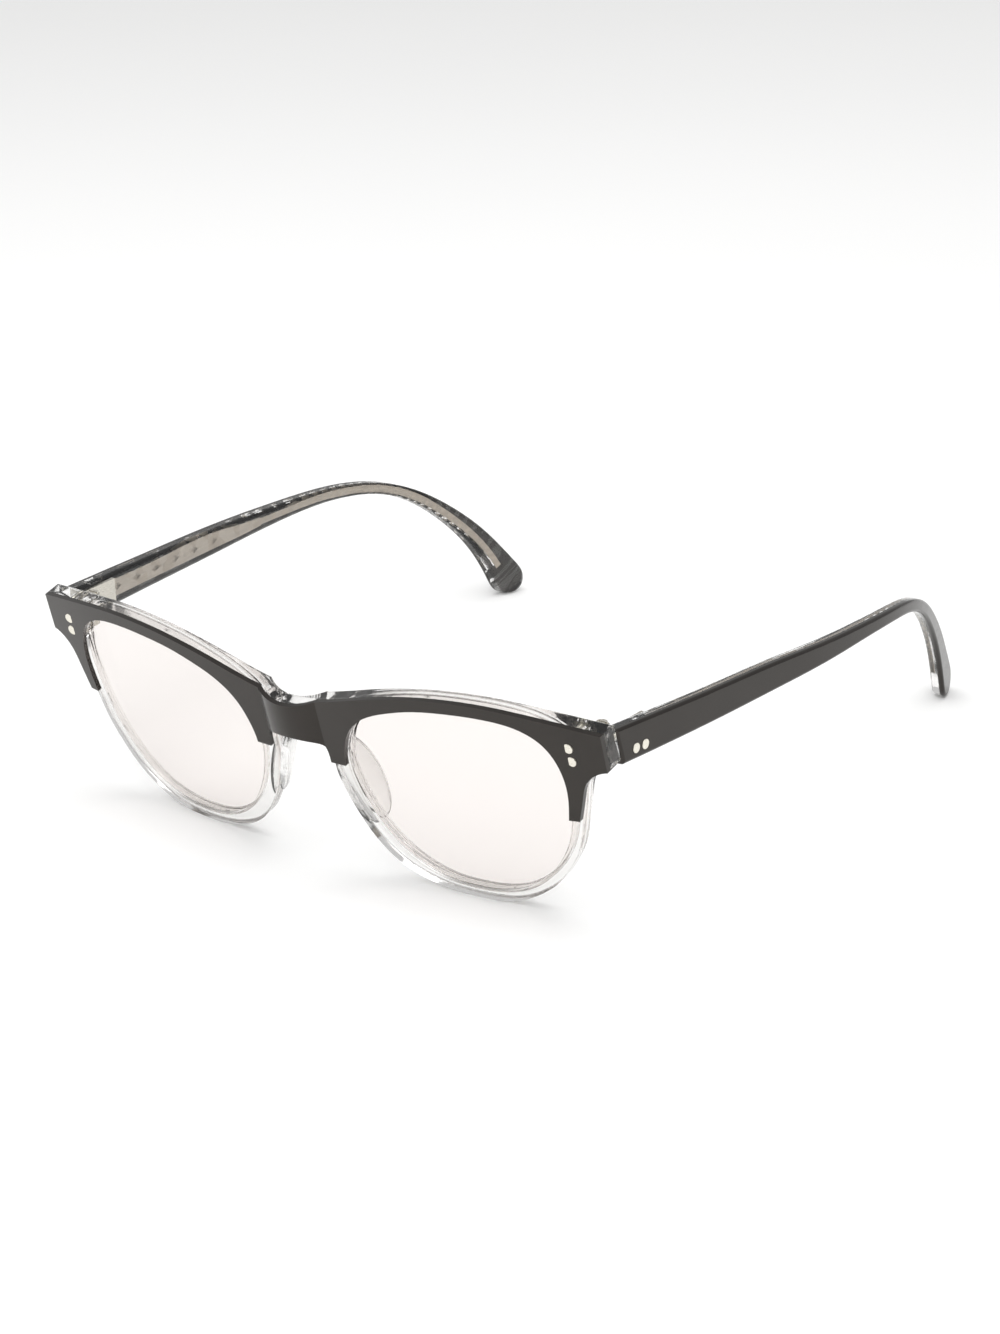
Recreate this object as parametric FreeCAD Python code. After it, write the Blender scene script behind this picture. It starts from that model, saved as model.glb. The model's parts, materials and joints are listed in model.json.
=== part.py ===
import FreeCAD, Part
import math
import os

from FreeCAD import Vector

# Eyeglasses with a laminated acetate front and folding temples, in millimetres.
# +X is the wearer's left, +Y runs back along the temples and +Z is up.
# The front is drawn in its own plane: U to the wearer's left, V up and W backwards from the
# foremost line of the lens plane. It then leans forward at the top by the pantoscopic tilt.

# Front plate
PANTOSCOPIC_TILT = 14.0
FACE_CURVE_RADIUS = 307.7
BLACK_THICKNESS = 1.05
CLEAR_THICKNESS = 3.3
PLATE_THICKNESS = BLACK_THICKNESS + CLEAR_THICKNESS
HALF_WIDTH = 68.8
BRIDGE_HALF_WIDTH = 7.0
BRIDGE_BULGE = 2.4
OUTER_TIP_V = 24.2
NOSE_TIP_V = 26.2
FRONT_DROP = 0.25
CLEAR_BACK_RADIUS = 0.7

# Lenses
LENS_THICKNESS = 1.8
LENS_GROOVE = 0.6
LENS_DEPTH = BLACK_THICKNESS + 0.75

# Nose pads
PAD_CENTRE = Vector(9.6, 5.6, 20.0)
PAD_SEMI_AXES = Vector(1.9, 4.1, 9.6)
PAD_LEAN = 21.0
PAD_SPLAY = -24.0

# Temples
TEMPLE_THICKNESS = 3.2
TEMPLE_BLACK = 1.2
TEMPLE_GAP = 0.12
TEMPLE_OUTER_RADIUS = 0.6
TEMPLE_INNER_RADIUS = 0.9
CORE_THICKNESS = 0.7
CORE_DEPTH = 1.75
CORE_WIRE_WIDTH = 1.4

# Hinges: five interleaved barrels on one vertical screw
PIVOT = Vector(63.4, 5.2, 0.0)
BARREL_RADIUS = 1.5
BARREL_HEIGHT = 1.16
BARREL_GAP = 0.06
BARREL_COUNT = 5
BARREL_BOTTOM = 35.6
SCREW_RADIUS = 0.6
SCREW_CLEARANCE = 0.05
SCREW_HEAD_RADIUS = 1.15
SCREW_HEAD_HEIGHT = 0.55
SCREW_SLOT = 0.35
LEAF_THICKNESS = 0.8
FRONT_LEAF_U = (60.4, 64.8)
FRONT_LEAF_V = (34.65, 41.45)
TEMPLE_LEAF_Y = (4.2, 14.4)
TEMPLE_LEAF_Z = (35.9, 41.6)
TEMPLE_LEAF_SUNK = 0.5

# Rivets
FRONT_RIVETS = ((61.9, 41.0), (62.1, 38.1))
FRONT_RIVET_RADIUS = 1.05
TEMPLE_RIVETS = ((7.4, 37.5), (10.0, 37.4))
TEMPLE_RIVET_RADIUS = 1.0
RIVET_PROUD = 0.12

MIDDLE_Y = 63.84
FAR = 200.0
SLAB_MARGIN = 5.0
WELL_IN_FRONT = -20.0
SNUG = 0.02
SAMPLE_SHARES = (0.15, 0.5, 0.85)
SPANS_PER_EDGE = 8

# Outlines of the wearer's left half, as (U, V) or (Y, Z)
TOP_EDGE = [
    (3.0, 39.5), (7.8, 40.4), (13.1, 41.8), (19.4, 43.6), (25.4, 45.0), (32.5, 46.2),
    (39.0, 46.8), (46.2, 46.95), (54.5, 46.4), (62.6, 45.55), (HALF_WIDTH, 44.75),
]
OUTER_EDGE = [
    (HALF_WIDTH, 36.6), (66.3, 35.6), (64.2, 33.4), (62.7, 29.2), (61.2, 24.1), (60.3, 20.6),
    (58.9, 16.2), (56.6, 12.0), (53.4, 7.6), (49.6, 4.3), (45.3, 1.8), (40.6, 0.4), (34.5, 0.0),
    (28.4, 0.4), (22.6, 1.9), (17.8, 4.4), (13.5, 8.8), (10.6, 14.0), (8.4, 19.6), (7.5, 24.0),
]
BRIDGE_EDGE = [(7.5, 27.6), (6.8, 30.1), (4.6, 31.2)]
LENS_EDGE = [
    (36.0, 2.3), (41.5, 3.0), (46.6, 5.0), (51.4, 8.8), (55.2, 13.7), (57.8, 19.2), (59.2, 25.0),
    (59.9, 30.5), (59.2, 36.2), (56.7, 40.8), (53.0, 43.2), (46.0, 44.4), (36.5, 44.05),
    (29.8, 43.1), (23.8, 41.4), (17.8, 38.7), (14.1, 35.3), (12.0, 31.1), (11.0, 26.1),
    (11.5, 22.0), (12.7, 18.0), (14.6, 13.9), (17.1, 10.1), (20.4, 6.8), (24.6, 4.2), (29.8, 2.6),
]
TEMPLE_OUTER_FACE = [
    (0.0, 68.9), (15.0, 70.2), (30.0, 71.4), (50.0, 72.7), (66.0, 73.6), (80.0, 73.6),
    (90.0, 73.0), (100.0, 71.4), (110.0, 68.8), (120.0, 65.4), (130.0, 61.8), (145.0, 56.6),
]
TEMPLE_TOP = [
    (-2.0, 43.1), (15.0, 42.2), (30.0, 41.4), (50.0, 40.4), (70.0, 38.9), (85.0, 37.8),
    (95.0, 36.7), (102.0, 35.3), (108.0, 33.3), (114.0, 30.3), (122.0, 24.6), (130.0, 17.0),
    (137.5, 7.6),
]
TEMPLE_TIP = [(139.4, 4.0), (138.7, 1.2), (136.2, 0.05), (133.4, 1.1), (131.8, 3.8)]
TEMPLE_BOTTOM = [
    (129.6, 8.6), (126.0, 14.6), (120.0, 21.6), (114.0, 26.8), (108.0, 30.4), (102.0, 32.6),
    (95.0, 33.9), (85.0, 34.7), (70.0, 34.8), (40.0, 34.8), (15.0, 35.1), (-2.0, 35.5),
]
CORE_TOP = [(12.6, 40.9), (35.0, 40.0), (50.0, 39.5), (58.0, 38.6), (66.0, 37.8)]
CORE_BOTTOM = [(66.0, 36.0), (58.0, 35.9), (50.0, 36.1), (35.0, 36.4), (12.6, 36.9)]
CORE_WIRE = [
    (66.0, 36.9), (85.0, 36.25), (95.0, 35.3), (102.0, 33.95), (108.0, 31.85), (114.0, 28.5),
    (121.0, 22.7), (127.0, 16.4), (133.0, 7.4),
]

TILT = math.radians(PANTOSCOPIC_TILT)


def mirrored(points):
    return [(-u, v) for u, v in reversed(points)]


def mirror(shape):
    return shape.mirror(Vector(), Vector(1, 0, 0))


def curve_through(points):
    """One smooth curve through the points, cut at some of them into edges of a few spans."""
    if len(points) == 2:
        return [Part.makeLine(points[0], points[1])]
    curve = Part.BSplineCurve()
    curve.interpolate(points)
    knots = curve.getKnots()
    edges = []
    for first in range(0, len(knots) - 1, SPANS_PER_EDGE):
        piece = curve.copy()
        piece.segment(knots[first], knots[min(first + SPANS_PER_EDGE, len(knots) - 1)])
        edges.append(piece.toShape())
    return edges


def face_from_runs(runs, to_point):
    """A flat face whose edge is one line or one smooth curve for each run of points."""
    edges = []
    for run in runs:
        edges += curve_through([to_point(a, b) for a, b in run])
    return Part.Face(Part.Wire(edges))


def offset_line(points, distance, closed=False):
    """The points moved to their left, square to the line through their neighbours."""
    moved = []
    last = len(points) - 1
    for number, (a, b) in enumerate(points):
        before = points[number - 1] if closed else points[max(number - 1, 0)]
        after = points[(number + 1) % len(points)] if closed else points[min(number + 1, last)]
        along_a = after[0] - before[0]
        along_b = after[1] - before[1]
        run = math.hypot(along_a, along_b)
        moved.append((a - distance * along_b / run, b + distance * along_a / run))
    return moved


def extruded(face, direction):
    """The solid swept by a flat face, which is turned over first if it looks backwards."""
    if face.normalAt(0, 0).dot(direction) < 0:
        face.reverse()
    return face.extrude(direction)


def face_curve(u, radius):
    """How far back the curved front lies at U."""
    return radius - math.sqrt(radius * radius - u * u)


def front_point(u, v):
    """A point of the front's outline, whose heights are given as seen level from ahead."""
    return Vector(u, -FAR / 2, v - face_curve(u, FACE_CURVE_RADIUS) * math.tan(TILT))


def side_point(y, z):
    return Vector(-FAR, y, z)


def plan_point(u, w):
    return Vector(u, w, -FAR / 2)


def lean(shape):
    """Take a shape from the front's own plane to its place on the object."""
    leaned = shape.copy()
    leaned.rotate(Vector(), Vector(1, 0, 0), PANTOSCOPIC_TILT)
    leaned.translate(Vector(0, 0, -FRONT_DROP))
    return leaned


def plan_edge(depth):
    """The plate's section at one depth: two brow arcs and the bridge's bulge between them."""
    radius = FACE_CURVE_RADIUS - depth
    places = (BRIDGE_HALF_WIDTH, HALF_WIDTH / 2, HALF_WIDTH + SLAB_MARGIN)
    brow = [plan_point(u, face_curve(u, radius) + depth) for u in places]
    left = Part.Arc(*brow).toShape()
    crease = brow[0]
    far_crease = Vector(-crease.x, crease.y, crease.z)
    middle = Vector(0, crease.y - BRIDGE_BULGE, crease.z)
    bulge = Part.Arc(far_crease, middle, crease).toShape()
    return [mirror(left), bulge, left], brow[-1]


def layer(front_depth, back_depth):
    """A curved slab between two depths, tall enough to cut the whole plate from."""
    front, front_end = plan_edge(front_depth)
    back, back_end = plan_edge(back_depth)
    side = Part.makeLine(front_end, back_end)
    wire = Part.Wire(Part.__sortEdges__(front + back + [side, mirror(side)]))
    return extruded(Part.Face(wire), Vector(0, 0, FAR))


def lying_on(shape, section):
    """The shape's edges that follow an upright wall, given by the wall's line in plan."""
    wall = Part.Compound(section)
    chosen = []
    for edge in shape.Edges:
        span = edge.LastParameter - edge.FirstParameter
        points = [edge.valueAt(edge.FirstParameter + share * span) for share in SAMPLE_SHARES]
        gaps = [Part.Vertex(point.x, point.y, -FAR / 2).distToShape(wall)[0] for point in points]
        level_change = abs(points[0].z - points[2].z)
        upright = math.isclose(level_change, points[0].distanceToPoint(points[2]), abs_tol=SNUG)
        if max(gaps) < SNUG and not upright:
            chosen.append(edge)
    return chosen


def prism(face):
    return extruded(face, Vector(0, FAR, 0))


def lens_prism(groove=0.0):
    """The left lens opening through the whole depth, or the lens's larger edge in its groove."""
    outline = offset_line(LENS_EDGE, -groove, closed=True)
    curve = Part.BSplineCurve()
    curve.interpolate([front_point(u, v) for u, v in outline], PeriodicFlag=True)
    return prism(Part.Face(Part.Wire(curve.toShape())))


def plate_prism():
    """The front's outline with both lens openings, through the whole depth."""
    top = mirrored(TOP_EDGE) + TOP_EDGE
    lower = OUTER_EDGE + BRIDGE_EDGE
    lower += mirrored(lower)
    runs = [top, [top[-1], lower[0]], lower, [lower[-1], top[0]]]
    plate = prism(face_from_runs(runs, front_point))
    opening = lens_prism()
    return plate.cut(opening).cut(mirror(opening))


def above_tips():
    """The region that the black laminate fills, down to its four square-cut tips."""
    middle = (BRIDGE_HALF_WIDTH + HALF_WIDTH) / 2
    nose = Part.makeBox(2 * middle, FAR, FAR, Vector(-middle, -FAR / 2, NOSE_TIP_V))
    tip_v = front_point(HALF_WIDTH - BRIDGE_HALF_WIDTH, OUTER_TIP_V).z
    outer = Part.makeBox(FAR, FAR, FAR, Vector(middle, -FAR / 2, tip_v))
    return nose.multiFuse([outer, mirror(outer)])


def lens():
    return lens_prism(LENS_GROOVE).common(layer(LENS_DEPTH, LENS_DEPTH + LENS_THICKNESS))


def front_rivets():
    """Two rivets through the endpiece, from just proud of the black face to the hinge plate."""
    rivets = []
    for u, v in FRONT_RIVETS:
        centre = front_point(u, v)
        start = face_curve(u, FACE_CURVE_RADIUS) - RIVET_PROUD
        length = PLATE_THICKNESS + LEAF_THICKNESS / 2 + RIVET_PROUD
        base = Vector(u, start, centre.z)
        rivets.append(domed_pin(FRONT_RIVET_RADIUS, length, base, Vector(0, 1, 0)))
    return Part.makeCompound(rivets)


def domed_pin(radius, length, base, direction):
    """A pin whose first end has its edge rounded off."""
    pin = Part.makeCylinder(radius, length, base, direction)
    rim = min(pin.Edges, key=lambda edge: edge.CenterOfMass.distanceToPoint(base))
    return pin.makeFillet(RIVET_PROUD, [rim])


def nose_pad(front):
    """A smooth pad on the nose side of the rim, reaching back from the plate."""
    stretch = FreeCAD.Matrix()
    stretch.scale(PAD_SEMI_AXES)
    pad = Part.makeSphere(1.0).transformGeometry(stretch)
    pad.rotate(Vector(), Vector(0, 0, 1), PAD_SPLAY)
    pad.rotate(Vector(), Vector(0, 1, 0), -PAD_LEAN)
    pad.translate(PAD_CENTRE)
    return pad.cut(front)


def temple_section(depth):
    """The temple's outer face in plan, or a parallel line at some depth inside it."""
    return curve_through([Vector(x - depth, y, -FAR / 2) for y, x in TEMPLE_OUTER_FACE])


def plan_band(near, far):
    """A tall band that follows the temple's outer face, between two depths inside it."""
    ends = []
    for y, x in (TEMPLE_OUTER_FACE[0], TEMPLE_OUTER_FACE[-1]):
        corners = [Vector(x - depth, y, -FAR / 2) for depth in (near, far)]
        ends.append(Part.makeLine(*corners))
    edges = temple_section(near) + temple_section(far) + ends
    return extruded(Part.Face(Part.Wire(Part.__sortEdges__(edges))), Vector(0, 0, FAR))


def side_prism(runs):
    """The left side's outline, as seen from the side, through the whole width."""
    return extruded(face_from_runs(runs, side_point), Vector(2 * FAR, 0, 0))


def temple_prism():
    """The temple's side outline, cut off square to the back of the endpiece."""
    runs = [TEMPLE_TOP + TEMPLE_TIP + TEMPLE_BOTTOM, [TEMPLE_BOTTOM[-1], TEMPLE_TOP[0]]]
    return side_prism(runs).cut(lean(layer(WELL_IN_FRONT, PLATE_THICKNESS + TEMPLE_GAP)))


def temple_core():
    """The stamped plate by the hinge and the wire that runs on towards the tip."""
    plate = [CORE_TOP, [CORE_TOP[-1], CORE_BOTTOM[0]], CORE_BOTTOM, [CORE_BOTTOM[-1], CORE_TOP[0]]]
    upper = offset_line(CORE_WIRE, CORE_WIRE_WIDTH / 2)
    lower = offset_line(CORE_WIRE, -CORE_WIRE_WIDTH / 2)[::-1]
    wire = [upper, [upper[-1], lower[0]], lower, [lower[-1], upper[0]]]
    outline = side_prism(plate).fuse(side_prism(wire))
    return outline.common(plan_band(CORE_DEPTH, CORE_DEPTH + CORE_THICKNESS))


def barrels(numbers, web_corner, web_length, web_width):
    """Some of the hinge's barrels, each with a flat web of its own height."""
    solids = []
    for number in numbers:
        base = PIVOT + Vector(0, 0, BARREL_BOTTOM + number * (BARREL_HEIGHT + BARREL_GAP))
        solids.append(Part.makeCylinder(BARREL_RADIUS, BARREL_HEIGHT, base))
        solids.append(Part.makeBox(web_length, web_width, BARREL_HEIGHT, base + web_corner))
    return solids


def screw_hole(radius):
    return Part.makeCylinder(radius, FAR, PIVOT)


def front_hinge(front):
    """The front leaf: a plate on the back of the endpiece and the odd barrels."""
    low_u, high_u = FRONT_LEAF_U
    low_v, high_v = FRONT_LEAF_V
    block = Part.makeBox(high_u - low_u, FAR, high_v - low_v, Vector(low_u, -FAR / 2, low_v))
    plate = lean(block.common(layer(PLATE_THICKNESS, PLATE_THICKNESS + LEAF_THICKNESS)))
    reach = 2 * BARREL_RADIUS + LEAF_THICKNESS
    corner = Vector(-BARREL_RADIUS, -reach, 0)
    webs = barrels(range(0, BARREL_COUNT, 2), corner, 2 * BARREL_RADIUS, reach)
    leaf = plate.multiFuse(webs).cut(screw_hole(SCREW_RADIUS))
    return leaf.cut(lean(front_rivets())).cut(lean(front))


def temple_leaf_x():
    """Where the temple leaf's inner and outer faces lie, by the temple's inner face."""
    inner_face = temple_face_x(TEMPLE_LEAF_Y[0]) - TEMPLE_THICKNESS
    return (inner_face - LEAF_THICKNESS + TEMPLE_LEAF_SUNK, inner_face + TEMPLE_LEAF_SUNK)


def temple_hinge():
    """The temple leaf: a plate let into the temple's inner face and the even barrels."""
    near, far = temple_leaf_x()
    low_y, high_y = TEMPLE_LEAF_Y
    low_z, high_z = TEMPLE_LEAF_Z
    plate = Part.makeBox(far - near, high_y - low_y, high_z - low_z, Vector(near, low_y, low_z))
    corner = Vector(0, -BARREL_RADIUS, 0)
    webs = barrels(range(1, BARREL_COUNT, 2), corner, far - PIVOT.x, 2 * BARREL_RADIUS)
    leaf = plate.multiFuse(webs).cut(screw_hole(SCREW_RADIUS + SCREW_CLEARANCE))
    return leaf.cut(temple_rivets())


def temple_rivets():
    """Two rivets through the temple, from just proud of the black face to the hinge plate."""
    rivets = []
    inner_x = sum(temple_leaf_x()) / 2
    for y, z in TEMPLE_RIVETS:
        outer_x = temple_face_x(y) + RIVET_PROUD
        base = Vector(outer_x, y, z)
        rivets.append(domed_pin(TEMPLE_RIVET_RADIUS, outer_x - inner_x, base, Vector(-1, 0, 0)))
    return Part.makeCompound(rivets)


def temple_face_x(y):
    """The temple's outer face beside the hinge, where it is almost straight."""
    (start_y, start_x), (end_y, end_x) = TEMPLE_OUTER_FACE[:2]
    return start_x + (end_x - start_x) * (y - start_y) / (end_y - start_y)


def hinge_screw():
    """A slotted screw down through all the barrels."""
    height = BARREL_COUNT * (BARREL_HEIGHT + BARREL_GAP) - BARREL_GAP
    base = PIVOT + Vector(0, 0, BARREL_BOTTOM)
    top = base + Vector(0, 0, height)
    shank = Part.makeCylinder(SCREW_RADIUS, height, base)
    head = Part.makeCylinder(SCREW_HEAD_RADIUS, SCREW_HEAD_HEIGHT, top)
    slot_corner = top + Vector(-SCREW_HEAD_RADIUS, -SCREW_SLOT / 2, SCREW_HEAD_HEIGHT / 2)
    slot = Part.makeBox(2 * SCREW_HEAD_RADIUS, SCREW_SLOT, SCREW_HEAD_HEIGHT, slot_corner)
    return shank.fuse(head.cut(slot)).removeSplitter()


def front_pieces():
    """The pieces of the front in its own plane: one shared, then the left ones."""
    plate = plate_prism()
    rivets = front_rivets()
    all_rivets = rivets.fuse(mirror(rivets))
    glass = lens()
    clear = plate.common(layer(BLACK_THICKNESS, PLATE_THICKNESS))
    clear = clear.makeFillet(CLEAR_BACK_RADIUS, lying_on(clear, plan_edge(PLATE_THICKNESS)[0]))
    clear = clear.cut(glass).cut(mirror(glass)).cut(all_rivets)
    black = plate.common(layer(0.0, BLACK_THICKNESS)).common(above_tips())
    return clear, black.cut(all_rivets), glass, rivets


def temple_pieces():
    blank = temple_prism()
    rivets = temple_rivets()
    leaf = temple_hinge()
    core = temple_core()
    outer = blank.common(plan_band(0.0, TEMPLE_BLACK))
    outer = outer.makeFillet(TEMPLE_OUTER_RADIUS, lying_on(outer, temple_section(0.0)))
    inner = blank.common(plan_band(TEMPLE_BLACK, TEMPLE_THICKNESS))
    inner = inner.makeFillet(TEMPLE_INNER_RADIUS, lying_on(inner, temple_section(TEMPLE_THICKNESS)))
    inner = inner.cut(rivets).cut(leaf).cut(core)
    return outer.cut(rivets), inner, core, leaf, rivets


def save(name, shape):
    """Write one sub-part, moved so that the object's middle is at the origin."""
    placed = shape.copy()
    placed.translate(Vector(0, -MIDDLE_Y, 0))
    placed.exportStep(f"parts/{name}.step")


def save_pair(name, shape):
    save(name + "_left", shape)
    save(name + "_right", mirror(shape))


def main():
    os.makedirs("parts", exist_ok=True)
    clear, black, glass, rivets = front_pieces()
    save("front_frame", lean(clear))
    save("brow_laminate", lean(black))
    save_pair("nose_pad", lean(nose_pad(clear)))
    save_pair("lens", lean(glass))
    save_pair("front_rivets", lean(rivets))
    save_pair("front_hinge", front_hinge(clear))
    save_pair("hinge_screw", hinge_screw())
    names = ("temple_outer", "temple_inner", "temple_core", "temple_hinge", "temple_rivets")
    for name, shape in zip(names, temple_pieces()):
        save_pair(name, shape)


main()
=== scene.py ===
import json
import math

import bpy
from mathutils import Matrix, Vector


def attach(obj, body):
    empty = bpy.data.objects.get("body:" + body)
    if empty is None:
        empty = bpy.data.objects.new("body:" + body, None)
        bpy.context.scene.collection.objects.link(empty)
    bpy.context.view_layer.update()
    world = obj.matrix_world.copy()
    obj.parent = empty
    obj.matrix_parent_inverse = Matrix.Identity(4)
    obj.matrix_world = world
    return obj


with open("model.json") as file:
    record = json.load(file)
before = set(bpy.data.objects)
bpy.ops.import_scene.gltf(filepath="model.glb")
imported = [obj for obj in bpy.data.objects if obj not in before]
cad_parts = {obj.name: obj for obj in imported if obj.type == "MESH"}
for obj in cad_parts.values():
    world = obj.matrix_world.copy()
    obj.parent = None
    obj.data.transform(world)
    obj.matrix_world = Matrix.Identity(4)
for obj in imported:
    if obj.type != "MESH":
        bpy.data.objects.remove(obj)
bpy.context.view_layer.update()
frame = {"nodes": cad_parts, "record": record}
MM = 0.001
OUTWARD = {"left": Vector((1, 0, 0)), "right": Vector((-1, 0, 0))}
NODES = frame["nodes"]

# Camera: the view direction, its roll, the point looked at and the lens, for a tall picture
CAMERA_AZIMUTH = 37.83
CAMERA_ELEVATION = 22.17
CAMERA_ROLL = -2.31
CAMERA_DISTANCE = 754.2 * MM
CAMERA_TARGET = Vector((2.6, -10.0, 22.9)) * MM
CAMERA_LENS = 99.7

# Stamped diamonds along each temple core: the middle of the first and of the last, and their shape
STAMP_COUNT = 6
STAMP_FIRST = Vector((0, -47.2, 38.7)) * MM
STAMP_LAST = Vector((0, -14.6, 37.8)) * MM
STAMP_HALF_LENGTH = 1.9 * MM
STAMP_HALF_HEIGHT = 0.9 * MM
STAMP_RAISE = 0.14 * MM
STAMP_SINK = 0.03 * MM

# Noise values between these two carry a texture's whole range
NOISE_LOW = 0.3
NOISE_HIGH = 0.7

# Refraction: the lens is thin and almost flat, so it hardly bends the light
ACETATE_IOR = 1.49
LENS_IOR = 1.1

# Soft studio
FLOOR_SIZE = 6.0
FLOOR_GAP = 0.05 * MM
WORLD_GREY = 0.93
WORLD_STRENGTH = 0.66
SOFT_BOXES = (
    ("top_box", (0.1, -0.1, 0.9), 0.9, 5.6),
    ("key_box", (0.7, -0.7, 0.7), 0.6, 2.6),
    ("fill_box", (-0.8, -0.5, 0.5), 0.7, 1.4),
)


def node_material(name):
    """A material with its node tree, its shader and a shared object-space position."""
    material = bpy.data.materials.new(name)
    material.use_nodes = True
    tree = material.node_tree
    shader = tree.nodes["Principled BSDF"]
    position = tree.nodes.new("ShaderNodeTexCoord").outputs["Object"]
    return material, tree, shader, position


def noise(tree, position, scale, detail, stretch=(1, 1, 1)):
    """A noise value; the scale is in features per metre."""
    mapping = tree.nodes.new("ShaderNodeMapping")
    mapping.inputs["Scale"].default_value = stretch
    texture = tree.nodes.new("ShaderNodeTexNoise")
    texture.inputs["Scale"].default_value = scale
    texture.inputs["Detail"].default_value = detail
    tree.links.new(position, mapping.inputs["Vector"])
    tree.links.new(mapping.outputs["Vector"], texture.inputs["Vector"])
    return texture.outputs["Fac"]


def spread(tree, value, low, high):
    """The value's middle range mapped onto low to high."""
    span = tree.nodes.new("ShaderNodeMapRange")
    span.inputs["From Min"].default_value = NOISE_LOW
    span.inputs["From Max"].default_value = NOISE_HIGH
    span.inputs["To Min"].default_value = low
    span.inputs["To Max"].default_value = high
    tree.links.new(value, span.inputs["Value"])
    return span.outputs["Result"]


def shade(tree, value, dark, light):
    """A colour between dark and light."""
    ramp = tree.nodes.new("ShaderNodeValToRGB")
    ramp.color_ramp.elements[0].color = (*dark, 1)
    ramp.color_ramp.elements[1].color = (*light, 1)
    ramp.color_ramp.elements[0].position = NOISE_LOW
    ramp.color_ramp.elements[1].position = NOISE_HIGH
    tree.links.new(value, ramp.inputs["Fac"])
    return ramp.outputs["Color"]


def add_bump(tree, shader, value, depth, strength):
    """Let the value raise the surface by up to the depth."""
    bump = tree.nodes.new("ShaderNodeBump")
    bump.inputs["Distance"].default_value = depth
    bump.inputs["Strength"].default_value = strength
    tree.links.new(value, bump.inputs["Height"])
    tree.links.new(bump.outputs["Normal"], shader.inputs["Normal"])


def black_acetate():
    """Tumble-polished black acetate: a soft sheen with a faint ripple and hairline wear."""
    material, tree, shader, position = node_material("black_acetate")
    ripple = noise(tree, position, 180, 2)
    hairlines = noise(tree, position, 900, 4, (1, 0.12, 1))
    colour = shade(tree, ripple, (0.0045, 0.0036, 0.003), (0.008, 0.0066, 0.0056))
    tree.links.new(colour, shader.inputs["Base Color"])
    tree.links.new(spread(tree, hairlines, 0.13, 0.21), shader.inputs["Roughness"])
    shader.inputs["IOR"].default_value = ACETATE_IOR
    shader.inputs["Specular Tint"].default_value = (1.0, 0.92, 0.85, 1)
    add_bump(tree, shader, ripple, 0.02 * MM, 0.4)
    return material


def clear_acetate():
    """Crystal acetate: water-clear, with a very slight warmth, tool ripple and fine scuffs."""
    material, tree, shader, position = node_material("clear_acetate")
    ripple = noise(tree, position, 220, 2)
    scuffs = noise(tree, position, 1500, 5)
    colour = shade(tree, ripple, (0.87, 0.865, 0.855), (0.9, 0.895, 0.885))
    tree.links.new(colour, shader.inputs["Base Color"])
    tree.links.new(spread(tree, scuffs, 0.04, 0.09), shader.inputs["Roughness"])
    shader.inputs["IOR"].default_value = ACETATE_IOR
    shader.inputs["Transmission Weight"].default_value = 1.0
    add_bump(tree, shader, ripple, 0.05 * MM, 0.5)
    return material


def lens_glass():
    """A thin clear lens with the slightest warm tint and a trace of dust."""
    material, tree, shader, position = node_material("lens")
    dust = noise(tree, position, 2500, 4)
    colour = shade(tree, dust, (0.885, 0.845, 0.825), (0.897, 0.857, 0.837))
    tree.links.new(colour, shader.inputs["Base Color"])
    tree.links.new(spread(tree, dust, 0.0, 0.015), shader.inputs["Roughness"])
    shader.inputs["IOR"].default_value = LENS_IOR
    shader.inputs["Transmission Weight"].default_value = 1.0
    return material


def metal(name, dark, light, rough, grain, stretch=(1, 1, 1)):
    """Satin metal whose brushing shows in its roughness and in a shallow grain."""
    material, tree, shader, position = node_material(name)
    brushing = noise(tree, position, grain, 4, stretch)
    tree.links.new(shade(tree, brushing, dark, light), shader.inputs["Base Color"])
    tree.links.new(spread(tree, brushing, rough[0], rough[1]), shader.inputs["Roughness"])
    shader.inputs["Metallic"].default_value = 1.0
    add_bump(tree, shader, brushing, 0.01 * MM, 0.5)
    return material


def make_materials():
    return {
        "black_acetate": black_acetate(),
        "clear_acetate": clear_acetate(),
        "lens": lens_glass(),
        "rivet": metal("rivet", (0.72, 0.69, 0.6), (0.85, 0.82, 0.74), (0.24, 0.4), 4000),
        "hinge": metal("hinge", (0.5, 0.48, 0.43), (0.66, 0.63, 0.57), (0.22, 0.38), 1500, (1, 1, 8)),
        "screw": metal("screw", (0.55, 0.52, 0.46), (0.74, 0.71, 0.64), (0.2, 0.35), 3000),
        "core": metal("core", (0.42, 0.37, 0.31), (0.56, 0.5, 0.43), (0.28, 0.45), 1200, (1, 0.1, 1)),
    }


def dress_cad_nodes(materials):
    """Give every CAD node the material of its slot."""
    for part in frame["record"]["subparts"]:
        node = NODES[part["node"]]
        node.data.materials.clear()
        node.data.materials.append(materials[part["material_slot"]])


def plate_point(core, outward, place):
    """The point of a temple core's inner face that lies straight out from a middle place."""
    inverse = core.matrix_world.inverted()
    hit = core.ray_cast(inverse @ place, inverse.to_3x3() @ outward)
    return core.matrix_world @ hit[1]


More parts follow.
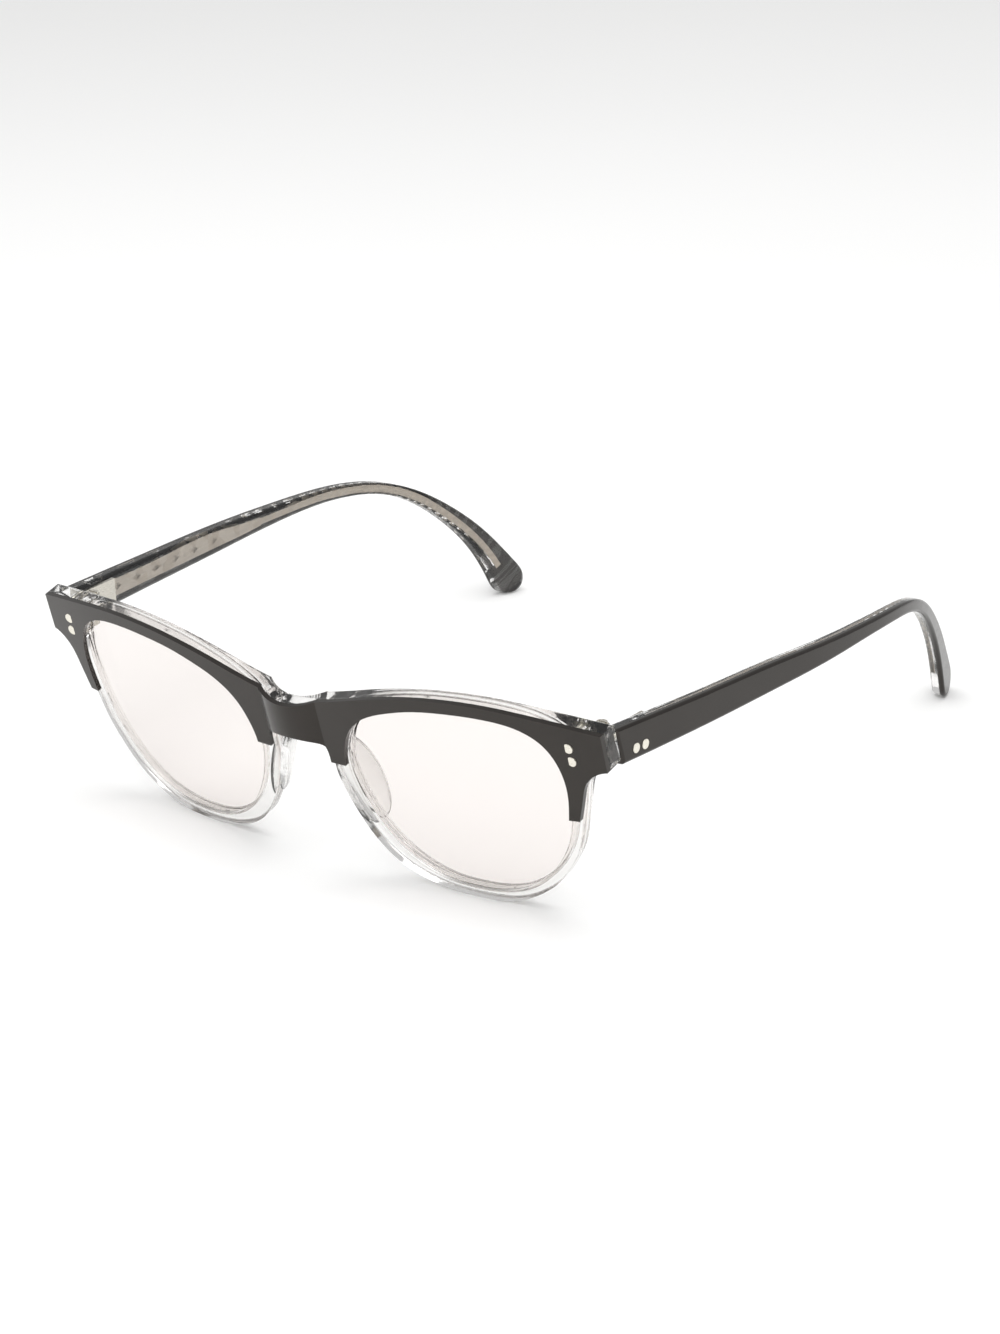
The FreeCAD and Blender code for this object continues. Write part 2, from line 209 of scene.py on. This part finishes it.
def make_stamps(side, outward, material):
    """A row of low diamonds, each a closed pyramid whose rim is sunk into the core's face."""
    core = NODES["temple_core_" + side]
    length = Vector((0, outward.x * STAMP_HALF_LENGTH, 0))
    height = Vector((0, 0, STAMP_HALF_HEIGHT))
    points = []
    faces = []
    for number in range(STAMP_COUNT):
        middle = STAMP_FIRST.lerp(STAMP_LAST, number / (STAMP_COUNT - 1))
        first = len(points)
        for reach in (-length, height, length, -height):
            points.append(plate_point(core, outward, middle + reach) + outward * STAMP_SINK)
        points.append(plate_point(core, outward, middle) - outward * STAMP_RAISE)
        faces += [(first + i, first + (i + 1) % 4, first + 4) for i in range(4)]
        faces.append([first + i for i in (3, 2, 1, 0)])
    mesh = bpy.data.meshes.new("core_stamps_" + side)
    mesh.from_pydata(points, [], faces)
    mesh.materials.append(material)
    stamps = bpy.data.objects.new("core_stamps_" + side, mesh)
    bpy.context.collection.objects.link(stamps)
    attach(stamps, "temple_" + side)


def make_camera():
    azimuth = math.radians(CAMERA_AZIMUTH)
    elevation = math.radians(CAMERA_ELEVATION)
    back = Vector(
        (
            math.sin(azimuth) * math.cos(elevation),
            -math.cos(azimuth) * math.cos(elevation),
            math.sin(elevation),
        )
    )
    data = bpy.data.cameras.new("camera")
    data.lens = CAMERA_LENS
    data.sensor_width = 36
    camera = bpy.data.objects.new("camera", data)
    turn = (-back).to_track_quat("-Z", "Y").to_matrix().to_4x4()
    roll = Matrix.Rotation(math.radians(CAMERA_ROLL), 4, "Z")
    camera.matrix_world = Matrix.Translation(CAMERA_TARGET + back * CAMERA_DISTANCE) @ turn @ roll
    bpy.context.collection.objects.link(camera)
    bpy.context.scene.camera = camera


def make_floor():
    bpy.ops.mesh.primitive_plane_add(size=FLOOR_SIZE, location=(0, 0, -FLOOR_GAP))
    floor = bpy.context.object
    floor.name = "studio_floor"
    material, tree, shader, position = node_material("studio_floor")
    grain = noise(tree, position, 3, 2)
    colour = shade(tree, grain, (0.93, 0.93, 0.925), (0.95, 0.95, 0.945))
    tree.links.new(colour, shader.inputs["Base Color"])
    shader.inputs["Roughness"].default_value = 0.9
    floor.data.materials.append(material)


def make_light(name, place, size, power):
    """A square soft box that looks at the glasses."""
    data = bpy.data.lights.new(name, "AREA")
    data.size = size
    data.energy = power
    light = bpy.data.objects.new(name, data)
    place = Vector(place)
    light.location = place
    light.rotation_mode = "QUATERNION"
    light.rotation_quaternion = (-place).to_track_quat("-Z", "Y")
    bpy.context.collection.objects.link(light)


def make_studio():
    world = bpy.data.worlds.new("studio")
    bpy.context.scene.world = world
    world.use_nodes = True
    background = world.node_tree.nodes["Background"]
    background.inputs["Color"].default_value = (WORLD_GREY, WORLD_GREY, WORLD_GREY, 1)
    background.inputs["Strength"].default_value = WORLD_STRENGTH
    for name, place, size, power in SOFT_BOXES:
        make_light(name, place, size, power)
    bpy.context.scene.view_settings.view_transform = "Standard"


make_camera()
make_floor()
make_studio()
materials = make_materials()
dress_cad_nodes(materials)
for side, outward in OUTWARD.items():
    make_stamps(side, outward, materials["core"])
